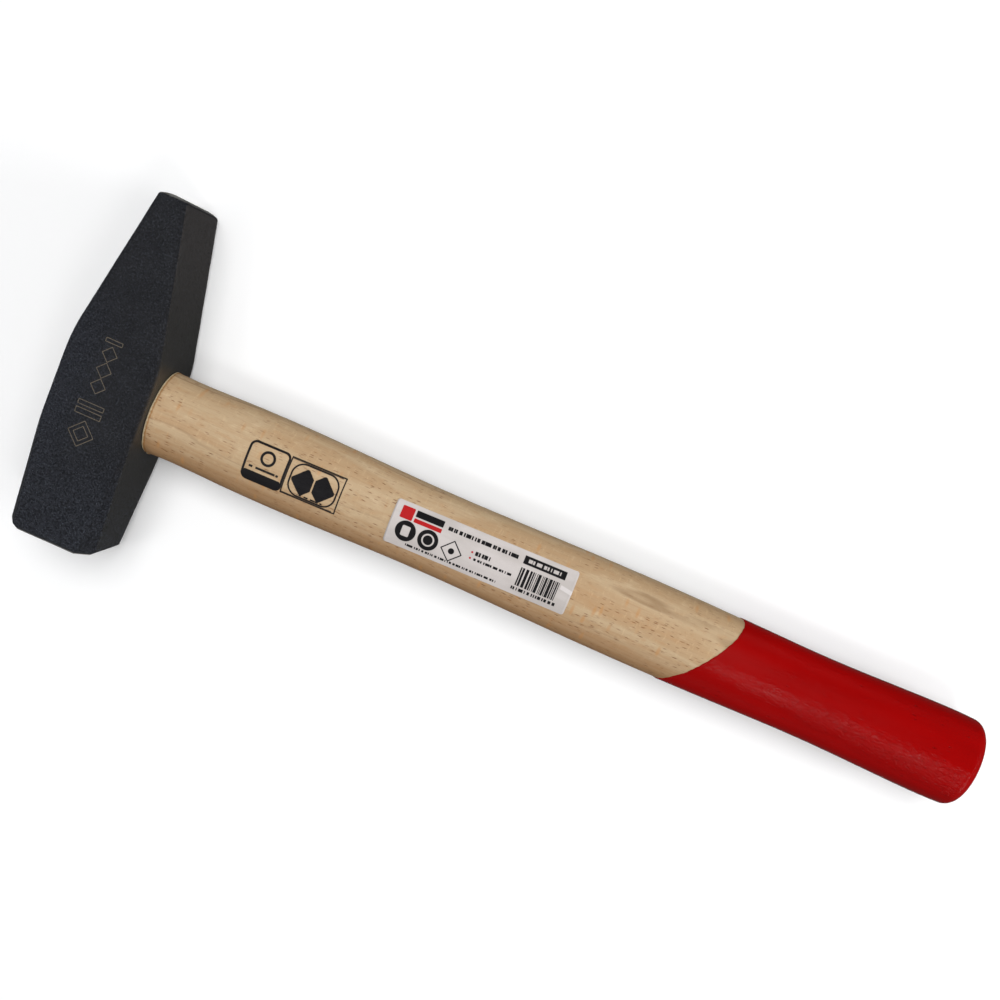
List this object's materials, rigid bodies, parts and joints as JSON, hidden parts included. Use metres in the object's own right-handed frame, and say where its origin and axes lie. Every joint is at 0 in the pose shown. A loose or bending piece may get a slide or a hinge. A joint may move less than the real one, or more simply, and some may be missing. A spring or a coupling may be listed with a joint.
{
  "type": "cross peen hammer",
  "caption": "Engineer's hammer with a square striking face, a wedge-shaped cross peen and an oval wooden handle dipped in lacquer at the grip.",
  "frame": {"origin": "on the outside of the lower cheek of the head, under the crossing of the head's axis and the handle's axis", "axes": "+X along the handle from the head to the butt, +Y along the head from the striking face to the peen, +Z out of the upper cheek, away from the surface the hammer lies on"},
  "size_m": [0.351, 0.13, 0.033],
  "materials": {
    "black_steel": "matt black paint over a forged surface, bare ground metal at the tip of the peen",
    "beech": "sanded, thin satin varnish, short dark flecks along the grain",
    "wedge_wood": "sawn end grain",
    "wedge_steel": "sheared mild steel, dull",
    "red_lacquer": "glossy dip coat, the wood grain shows through",
    "label_paper": null
  },
  "bodies": {
    "root": {"hammer_head": "black_steel", "handle": "beech", "wooden_wedge": "wedge_wood", "steel_wedge": "wedge_steel", "grip_lacquer": "red_lacquer", "product_label": "label_paper"}
  },
  "joints": []
}
